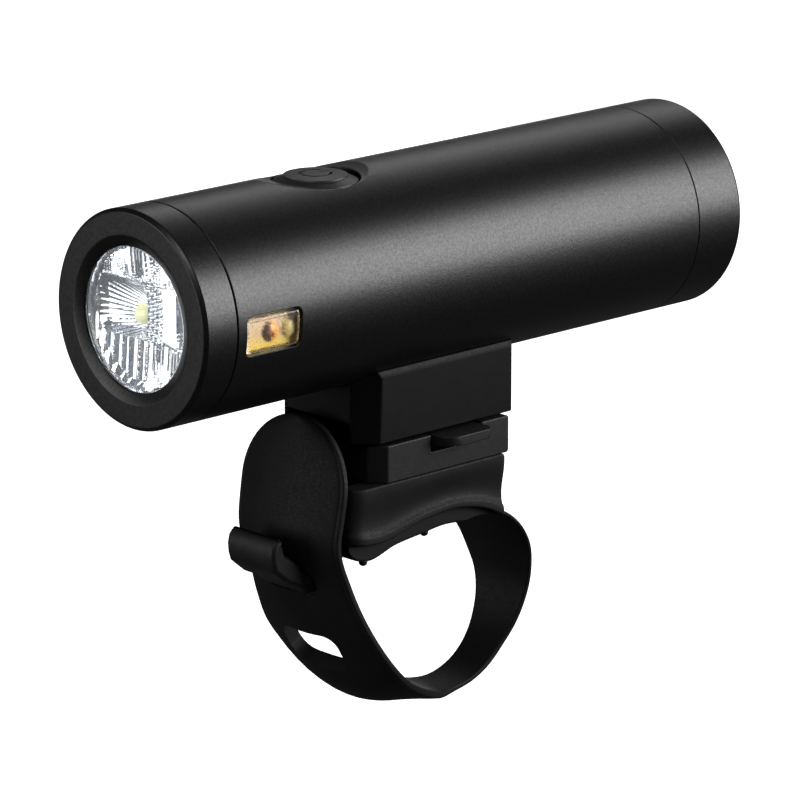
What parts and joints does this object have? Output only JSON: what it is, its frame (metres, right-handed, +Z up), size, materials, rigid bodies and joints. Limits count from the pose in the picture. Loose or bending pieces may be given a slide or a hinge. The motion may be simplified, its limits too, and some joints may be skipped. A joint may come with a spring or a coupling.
{
  "type": "bike light",
  "caption": "Cylindrical handlebar front light with fluted reflector, side windows, top power button and a slide-on bracket held by a rubber strap and hook.",
  "frame": {"origin": "centre of the handlebar that the strap's loop holds, midway along the strap's width", "axes": "+X along the handlebar, +Y from the lens to the rear cap along the lamp, +Z up through the lamp"},
  "size_m": [0.03, 0.1039, 0.0792],
  "materials": {
    "anodised_aluminium": "black, bead blasted",
    "bare_aluminium": "turned",
    "nylon_black": "fine spark texture",
    "strap_rubber": "matt moulded",
    "silicone": "matt",
    "button_plastic": "satin",
    "clear_lens": "clear polished polycarbonate",
    "amber_lens": "tinted polished polycarbonate",
    "reflector_metal": "vacuum metallised",
    "led_phosphor": "silicone dome",
    "led_metal_board": "white solder mask",
    "circuit_board": "green solder mask",
    "component_black": "moulded epoxy",
    "component_metal": "satin",
    "holder_plastic": "moulded ABS",
    "cell_sleeve": "shrink sleeve",
    "steel": "zinc plated"
  },
  "bodies": {
    "bracket": {"mount_base": "nylon_black", "hook_plate": "nylon_black", "rubber_strap": "strap_rubber", "base_screws": "steel", "latch_pin": "steel", "latch_spring": "steel"},
    "latch": {"release_latch": "nylon_black"},
    "lamp": {"bezel": "anodised_aluminium", "lens_seal": "silicone", "front_lens": "clear_lens", "reflector": "reflector_metal", "led_emitter": "led_phosphor", "led_board": "led_metal_board", "led_screws": "steel", "heat_sink": "bare_aluminium", "barrel": "anodised_aluminium", "side_window_right": "amber_lens", "side_window_left": "amber_lens", "side_board_right": "circuit_board", "side_board_left": "circuit_board", "side_leds": "led_phosphor", "switch_body": "component_black", "main_board": "circuit_board", "driver_chip": "component_black", "charge_chip": "component_black", "inductor": "component_metal", "capacitors": "component_metal", "cell_holder": "holder_plastic", "battery_cell": "cell_sleeve", "front_contact": "steel", "rear_contact": "steel", "rear_seal": "silicone", "rear_cap": "anodised_aluminium", "usb_socket": "steel", "usb_tongue": "component_black", "usb_board": "circuit_board", "port_anchor": "silicone", "lamp_foot": "nylon_black", "foot_screws": "steel"},
    "button": {"power_button": "button_plastic", "button_seal": "silicone", "switch_plunger": "component_black"},
    "cover": {"port_cover": "silicone"}
  },
  "joints": [
    {"name": "lamp_slide", "type": "slide", "parent": "bracket", "child": "lamp", "axis": [0, 1, 0], "range_m": [0, 0.03]},
    {"name": "latch_press", "type": "hinge", "parent": "bracket", "child": "latch", "pos_m": [0.0056, -0.0054, 0.025], "axis": [0, 1, 0], "range_deg": [0, 7], "stiffness_Nm_per_rad": 0.05, "springref_deg": -5.73, "deforming": ["latch_spring"]},
    {"name": "button_press", "type": "slide", "parent": "lamp", "child": "button", "axis": [0, 0, -1], "range_m": [0, 0.0004], "stiffness_N_per_m": 1500, "springref_m": -0.0002},
    {"name": "cover_swing", "type": "hinge", "parent": "lamp", "child": "cover", "pos_m": [0, 0.0468, 0.05095], "axis": [1, 0, 0], "range_deg": [0, 120]}
  ]
}
